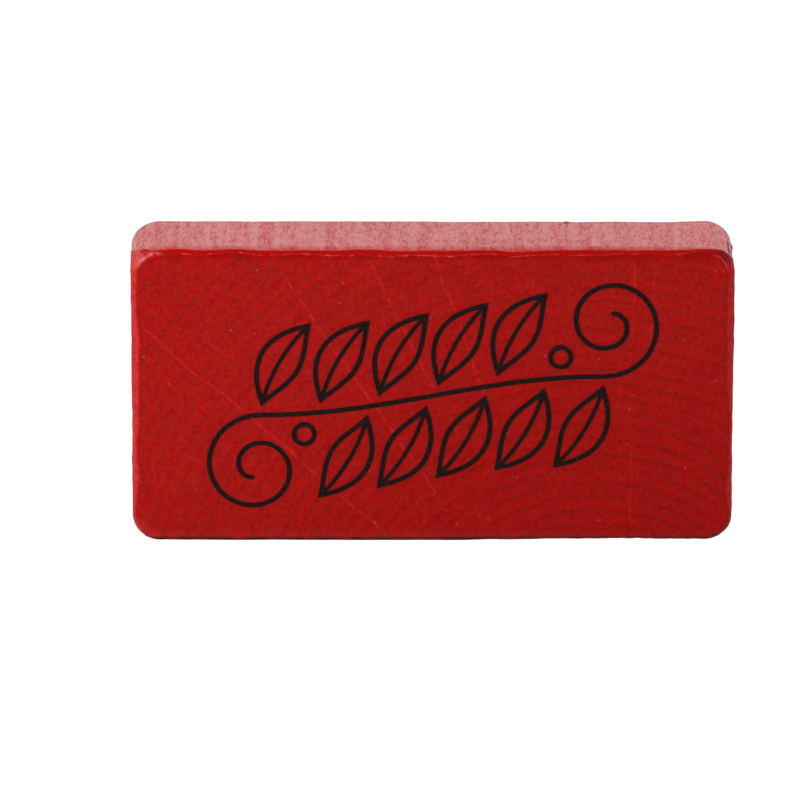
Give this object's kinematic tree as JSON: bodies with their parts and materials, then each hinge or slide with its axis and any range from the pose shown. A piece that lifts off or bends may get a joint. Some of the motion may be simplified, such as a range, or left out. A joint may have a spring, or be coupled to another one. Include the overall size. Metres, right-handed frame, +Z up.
{
  "type": "wooden game block",
  "caption": "Small oblong wooden game block with rounded corners, red lacquered faces and a black line print of a leafy stem on the front.",
  "frame": {"origin": "under the middle of the block, on the plane of the long edge that it stands on", "axes": "+X along the block's length, to the right as the printed face is seen; the printed face looks along -Y; +Z up"},
  "size_m": [0.05, 0.0085, 0.0255],
  "materials": {
    "stained_wood": "red stain, satin, sawn and sanded side grain",
    "red_lacquer": "thin glossy red lacquer over end grain",
    "black_ink": "black screen-print ink, semi-matt"
  },
  "bodies": {
    "root": {"wood_block": "stained_wood", "front_coat": "red_lacquer", "back_coat": "red_lacquer", "ink_stem": "black_ink", "ink_leaf_upper_1": "black_ink", "ink_leaf_upper_2": "black_ink", "ink_leaf_upper_3": "black_ink", "ink_leaf_upper_4": "black_ink", "ink_leaf_upper_5": "black_ink", "ink_leaf_lower_1": "black_ink", "ink_leaf_lower_2": "black_ink", "ink_leaf_lower_3": "black_ink", "ink_leaf_lower_4": "black_ink", "ink_leaf_lower_5": "black_ink", "ink_berry_upper": "black_ink", "ink_berry_lower": "black_ink"}
  },
  "joints": []
}
